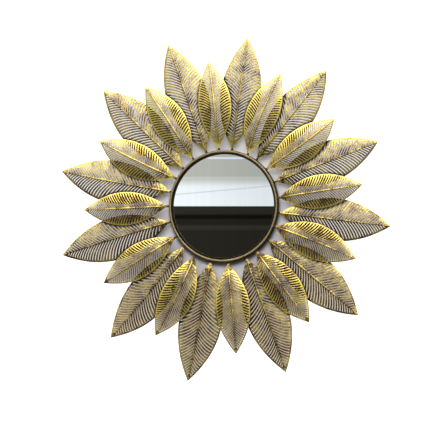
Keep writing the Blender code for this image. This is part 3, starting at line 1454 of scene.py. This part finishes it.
@dataclass(frozen=True)
class BandedCard(Finish):
    """A glowing card in plain horizontal tones, with a pale patch and a faint slanting line."""

    middle: Point
    right: Point
    half: float
    name: str = "card_tones"
    patch: Patch = Patch()
    line: Line = Line()
    gain_span: Span = (-0.9, 0.9)
    gain: Span = (1.13, 0.93)
    stripes: Grain = Grain(9.0, 2.0)
    stripe_span: Span = (0.3, 0.7)
    stripe_gain: Span = (0.98, 1.02)

    def material(self) -> Material:
        """Build the material.

        Returns:
            The material.
        """
        material, nodes, shader = self.start()
        material.node_tree.nodes.remove(shader)
        across, height = self.axes(nodes)
        colour = nodes.blend(self.patch_mask(nodes, across, height),
                             self.tones(nodes, height), self.patch.colour)
        colour = nodes.blend(self.line_mask(nodes, across, height), colour, self.line.colour)
        upright = nodes.row(nodes.add("CombineXYZ"), across)
        stripes = nodes.range(nodes.noise(upright, self.stripes), self.stripe_span,
                              self.stripe_gain)
        gain = nodes.math("MULTIPLY", nodes.range(across, self.gain_span, self.gain), stripes)
        lit = nodes.fill(nodes.vector("SCALE", colour), Scale=gain).outputs[0]
        glow = nodes.fill(nodes.add("Emission"), Color=lit)
        nodes.fill(material.node_tree.nodes["Material Output"], Surface=glow.outputs[0])
        return material

    def axes(self, nodes: Nodes) -> tuple[Socket, Socket]:
        """Where a point is on the card.

        Args:
            nodes: The material's node writer.

        Returns:
            Across from -1 to 1, to the right as the mirror shows it, and height from 0 to 1.
        """
        local = nodes.vector("SUBTRACT", nodes.place(), self.middle).outputs[0]
        along = nodes.vector("DOT_PRODUCT", local, self.right).outputs["Value"]
        height = nodes.math("MULTIPLY_ADD", nodes.parts(local)["Z"], 0.5 / self.half, 0.5)
        return nodes.math("DIVIDE", along, self.half), height

    def tones(self, nodes: Nodes, height: Socket) -> Socket:
        """The colour of the bands at a height."""
        node = nodes.add("ValToRGB")
        ramp = node.color_ramp
        stops = [(place, band.colour) for band in MIRROR_BANDS
                 for place in sorted({band.low, band.high})]
        while len(ramp.elements) < len(stops):
            ramp.elements.new(1.0)
        for element, (place, colour) in zip(ramp.elements, stops):
            element.position = place
            element.color = (*colour, 1.0)
        return nodes.row(node, height)

    def patch_mask(self, nodes: Nodes, across: Socket, height: Socket) -> Socket:
        """A mask that is 1 on the pale patch and 0 off it."""
        patch = self.patch
        ends = nodes.math(
            "MULTIPLY",
            nodes.range(across, (patch.left - patch.soft, patch.left + patch.soft)),
            nodes.range(across, (patch.right + patch.soft, patch.right - patch.soft)))
        off = nodes.math("ABSOLUTE", nodes.math("SUBTRACT", height, patch.level))
        return nodes.math("MULTIPLY", ends, nodes.range(
            off, (patch.core * patch.width, patch.width), (1.0, 0.0)))

    def line_mask(self, nodes: Nodes, across: Socket, height: Socket) -> Socket:
        """A mask that shows the faint slanting line."""
        line = self.line
        rise = nodes.math("MULTIPLY_ADD", across, -line.slope, line.level)
        off = nodes.math("ABSOLUTE", nodes.math("SUBTRACT", height, rise))
        return nodes.range(off, (line.core * line.width, line.width), (line.strength, 0.0))


@dataclass(frozen=True)
class StudioWall:
    """A pale wall, with an opening where the board hides it so that the back gets light.

    The grey paint of painted shade is set off sideways, since the leaves stand out from the
    wall.
    """

    gap: float = 0.0008
    opening: float = 0.1250
    near: float = 0.4300
    rings: int = 150
    far: tuple[float, ...] = (0.6, 1.0, 2.5, 7.0)
    steps: int = 900
    # How far the grey painted shade reaches round the ring.
    grey: float = 0.2200
    grey_soft: float = 0.0100
    margin: float = 0.0020
    offset: Span = (-0.27, 0.09)
    # Painted shadow: a faint part under the small leaves, and how it fades towards the top.
    front_shade: float = 0.06
    shade_fall: float = 0.10
    # Painted light: the glow behind the leaves, in the open, under each layer, behind the lower
    # halves and rising towards the top.
    glow_open: float = 0.10
    glow_back: float = 0.27
    glow_front: float = 0.09
    glow_low: float = 0.22
    glow_rise: float = 0.11
    glow_floor: float = -0.5
    # Painted shadow under the ring.
    ring_shadow: float = 0.1375
    ring_shift: Span = (-0.0010, -0.0070)
    ring_soft: float = 0.0080
    ring_depth: float = 0.9

    def seen(self, points: WallPoints, layer: LeafLayer) -> WallPoints:
        """The wall's points, moved to where the camera sees them past a layer."""
        right, rise = self.offset
        return points.shifted(right * layer.edge_height, rise * layer.edge_height)

    def shades(self, points: WallPoints, back: LeafLayer, front: LeafLayer
               ) -> dict[str, np.ndarray]:
        """How the wall is painted: painted shade, painted shadows and the glow of painted
        light.

        Args:
            points: The wall's vertices.
            back: The large leaves.
            front: The small leaves.

        Returns:
            The values of each attribute that the wall's material reads.
        """
        past_back, past_front = self.seen(points, back), self.seen(points, front)
        under_back = back.cover(past_back, self.margin)
        under_front = front.cover(past_front, self.margin)
        # Grey painted shade near the ring.
        inside = np.clip((self.grey - points.radius()) / self.grey_soft, 0.0, 1.0)
        height = points.up / self.grey
        # Painted shadow where both layers overlap and beside the small leaves, and faintly
        # under the small leaves.
        between = np.maximum(np.minimum(under_back, front.spill(past_front)),
                             self.front_shade * under_front)
        # Less painted shadow towards the top.
        between *= 1 - self.shade_fall * np.clip(height, 0.0, 1.0)
        # Painted shadow under the ring, set a little down and to the left.
        ring = (self.ring_shadow - points.shifted(*self.ring_shift).radius()) / self.ring_soft
        between = np.maximum(between, self.ring_depth * np.clip(ring, 0.0, 1.0))
        # Painted light: more glow behind the large leaves, behind their lower halves and
        # towards the top.
        glow = (self.glow_open + self.glow_back * under_back + self.glow_front * under_front
                + self.glow_low * back.low_side(past_back)
                + self.glow_rise * np.clip(height, self.glow_floor, 1.0))
        return {BEHIND: np.maximum.reduce([under_back, under_front, inside]),
                PAINTED_SHADOW: between, GLOW: glow * (1 - between)}

    def build(self, back: LeafLayer, front: LeafLayer) -> None:
        """Build and stage the wall.

        Args:
            back: The large leaves, which hide the grey paint.
            front: The small leaves.
        """
        radii = np.array([*spread(self.opening, self.near, self.rings), *self.far])
        angles = np.linspace(0.0, math.tau, self.steps, endpoint=False)
        points = WallPoints(np.outer(radii, np.cos(angles)).ravel(),
                            np.outer(radii, np.sin(angles)).ravel())
        count = len(points.up)
        places = np.column_stack((points.across, np.full(count, self.gap), points.up))
        index = np.arange(count).reshape(len(radii), self.steps)
        turned = np.roll(index, -1, axis=1)
        faces = np.stack((index[:-1], turned[:-1], turned[1:], index[1:]), axis=-1)
        mesh = bpy.data.meshes.new("studio_wall")
        mesh.from_pydata(places.tolist(), [], faces.reshape(-1, 4)[:, ::-1].tolist())
        for name, values in self.shades(points, back, front).items():
            mesh.attributes.new(name, "FLOAT", "POINT").data.foreach_set("value", values)
        mesh.materials.append(LitWall().material())
        item = bpy.data.objects.new("studio_wall", mesh)
        bpy.context.scene.collection.objects.link(item)
        LOG.info("studio_wall is staged, %d faces", len(mesh.polygons))


def stage_panel(name: str, corners: Sequence[Sequence[float]], material: Material) -> None:
    """Make one staged rectangle.

    Args:
        name: Its name.
        corners: Its four corners in order.
        material: Its material.
    """
    build = ReliefMesh()
    build.face([build.corner(corner) for corner in corners])
    build.finish(name, material)
    LOG.info("%s is staged", name)


@dataclass(frozen=True)
class StudioFloor:
    """A pale floor, well below the mirror."""

    height: float = -1.9
    half: float = 3.0
    front: float = -2.4
    back: float = 1.2

    def build(self) -> None:
        """Build and stage the floor."""
        stage_panel("studio_floor", [
            (x, y, self.height) for x, y in (
                (-self.half, self.front), (self.half, self.front),
                (self.half, self.back), (-self.half, self.back))], PlainPaint().material())


@dataclass(frozen=True)
class PhotoCamera:
    """The camera at the photograph's viewing angle: a little from the right and from below."""

    azimuth: float = 15.0
    elevation: float = -5.0
    distance: float = 9.0
    target: Point = (-0.01935, -0.0150, -0.02112)
    lens: float = 323.1
    sensor: float = 36.0
    clip_end: float = 60.0

    def back(self) -> Vector:
        """The way from the target to the camera."""
        turn, rise = math.radians(self.azimuth), math.radians(self.elevation)
        return Vector((math.sin(turn) * math.cos(rise), -math.cos(turn) * math.cos(rise),
                       math.sin(rise)))

    def place(self) -> Vector:
        """Where the camera stands."""
        return Vector(self.target) + self.back() * self.distance

    def build(self) -> None:
        """Make the camera and look through it."""
        data = bpy.data.cameras.new("photo_camera")
        data.lens = self.lens
        data.sensor_width = self.sensor
        data.clip_end = self.clip_end
        item = bpy.data.objects.new("photo_camera", data)
        item.location = self.place()
        item.rotation_mode = "QUATERNION"
        item.rotation_quaternion = (-self.back()).to_track_quat("-Z", "Y")
        bpy.context.scene.collection.objects.link(item)
        bpy.context.scene.camera = item


@dataclass(frozen=True)
class StudioCard:
    """The card behind the camera that fills the mirror as the camera sees it."""

    distance: float = 12.0
    width: float = 1.3
    spare: float = 1.1

    def build(self, camera: PhotoCamera, glass: RoundGlass) -> None:
        """Build and stage the card.

        Args:
            camera: The camera that sees the mirror.
            glass: The mirror.
        """
        front = -(glass.back + glass.thickness)
        eye = camera.place()
        image = Vector((eye.x, 2 * front - eye.y, eye.z))
        middle = Vector((0.0, front, 0.0))
        away = (middle - image).normalized()
        grow = 1 + self.distance / (middle - image).length
        spot = middle + away * self.distance
        half = glass.radius * grow * self.spare
        flat = Vector((away.x, away.y, 0.0)).normalized()
        right = Vector((-flat.y, flat.x, 0.0))
        side, up = right * self.width / 2, OUT * half
        stage_panel("studio_card", [spot + a * side + b * up for a, b in (
            (-1, -1), (1, -1), (1, 1), (-1, 1))],
            BandedCard(tuple(spot), tuple(right), half).material())


@dataclass(frozen=True)
class SoftLight:
    """A rectangular light that points at the mirror."""

    name: str
    place: Point
    size: Span
    power: float

    def build(self) -> None:
        """Build the light."""
        data = bpy.data.lights.new(self.name, "AREA")
        data.shape = "RECTANGLE"
        data.size, data.size_y = self.size
        data.energy = self.power
        item = bpy.data.objects.new(self.name, data)
        item.location = self.place
        item.rotation_mode = "QUATERNION"
        item.rotation_quaternion = (-Vector(self.place)).to_track_quat("-Z", "Y")
        bpy.context.scene.collection.objects.link(item)
        LOG.info("%s is lit", self.name)


@dataclass(frozen=True)
class StudioWorld:
    """Soft light from all round, with a dark part below the horizon in front.

    The strengths are those from straight above, from about twenty degrees up, from just
    above the horizon, and from below it in front of the mirror and on the other sides.
    """

    above: float = 0.42
    slope: float = 0.82
    level: float = 0.66
    below: float = 0.02
    aside: float = 0.36
    slope_heights: Span = (0.05, 0.35)
    above_heights: Span = (0.42, 0.80)
    edge_heights: Span = (-0.10, 0.085)
    dark_turn: Span = (0.61, 0.70)

    def build(self) -> None:
        """Build the world and light the scene with it."""
        world = bpy.data.worlds.new("studio_world")
        world.use_nodes = True
        bpy.context.scene.world = world
        nodes = Nodes(world.node_tree)
        way = nodes.parts(nodes.add("TexCoord").outputs["Generated"])
        up = nodes.range(way["Z"], self.slope_heights, (0.0, self.slope - self.level))
        top = nodes.range(way["Z"], self.above_heights, (0.0, self.above - self.slope))
        ahead = nodes.math("MULTIPLY", way["Y"], -1.0)
        turn = nodes.math("ABSOLUTE", nodes.math("ARCTAN2", way["X"], ahead))
        dark = nodes.range(turn, self.dark_turn, (self.below, self.aside))
        edge = nodes.range(way["Z"], self.edge_heights, (dark, self.level))
        nodes.fill(world.node_tree.nodes["Background"], Color=WHITE,
                   Strength=nodes.math("ADD", nodes.math("ADD", up, top), edge))
        LOG.info("studio_world is set")


def build_finishes() -> Finishes:
    """Build every finish once.

    Returns:
        The materials by name.
    """
    groups = Groups(RubbedRelief().group(), FineSurface().group())
    ground = (0.038, 0.023, 0.009)
    return {
        Layer.LARGE: AntiqueGold(
            "antique_gold", ground, (0.19, 0.105, 0.032), (0.39, 0.295, 0.108),
            (0.61, 0.475, 0.115), reach=0.50, breaks=1.1).material(groups),
        Layer.SMALL: AntiqueGold(
            "yellow_gold", ground, (0.25, 0.14, 0.035), (0.465, 0.355, 0.112),
            (0.775, 0.605, 0.132), reach=0.52).material(groups),
        "ring": AntiqueGold(
            "rubbed_bronze", (0.020, 0.012, 0.005), (0.06, 0.037, 0.012),
            (0.15, 0.105, 0.038), (0.30, 0.235, 0.11), reach=0.5, rough_deep=0.60,
            rough_bright=0.50, metallic=0.85, coat=0.05).material(groups),
        "back": DarkIron("painted_back", (0.045, 0.030, 0.014), (0.10, 0.07, 0.03),
                         roughness=0.55, metallic=0.5).material(groups),
        "stem": DarkIron("painted_rod", (0.050, 0.036, 0.020), (0.16, 0.12, 0.05),
                         roughness=0.50, metallic=0.7).material(groups),
        "glass": SilveredGlass().material(),
        "board": Fibreboard().material(),
        "plate": ZincSteel().material(),
    }


def build_leaves(finishes: Finishes) -> tuple[LeafLayer, LeafLayer]:
    """Build both layers of leaves.

    Args:
        finishes: The materials by name.

    Returns:
        The large leaves and the small leaves.
    """
    front = LeafLayer(
        Layer.SMALL, LeafShape(length=0.2030, width=0.0800, camber=0.0070, arch=0.0137,
                               tip_rise=0.0080, foot_height=0.0140),
        Veins(30, first=0.075, last=0.925, share=0.50), SMALL_SETTINGS, first_degrees=94.0,
        stem_steps=7, rim=0.0029, end_gilt=(0.51, 0.55), end_top_light=(0.10, 0.09),
        vein_gilt=(0.47, 0.88), top_painted_light=0.11, low_side_shade=0.0, edge_height=0.0240)
    back = LeafLayer(
        Layer.LARGE, LeafShape(length=0.2700, width=0.1000, camber=0.0085, arch=0.0100,
                               tip_rise=0.0, foot_height=0.0095),
        Veins(33, first=0.060, last=0.938, share=0.60), LARGE_SETTINGS, first_degrees=108.0,
        stem_steps=8, rim=0.0036, end_gilt=(0.60, 0.68), end_top_light=(0.08, 0.12),
        vein_gilt=(0.50, 0.85), top_painted_light=0.07, low_side_shade=0.16, edge_height=0.0110,
        covered_by=front)
    back.build(finishes)
    front.build(finishes)
    return back, front


def main() -> None:
    """Dress the whole mirror and light it."""
    logging.basicConfig(level=logging.INFO, format="%(message)s")
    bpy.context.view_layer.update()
    camera = PhotoCamera()
    camera.build()
    finishes = build_finishes()

    TurnedRing().build(finishes["ring"])
    glass = RoundGlass()
    glass.build(finishes["glass"])
    dress_back(finishes)
    back, front = build_leaves(finishes)

    StudioWall().build(back, front)
    StudioFloor().build()
    StudioCard().build(camera, glass)
    SoftLight("key_light", (-0.2, -2.2, 2.7), (5.0, 3.0), 150.0).build()
    SoftLight("front_fill", (1.2, -5.0, 1.6), (2.0, 2.0), 20.0).build()
    StudioWorld().build()
    scene = bpy.context.scene
    scene.view_settings.view_transform = "Standard"
    scene.view_settings.look = "None"


if __name__ == "__main__":
    main()
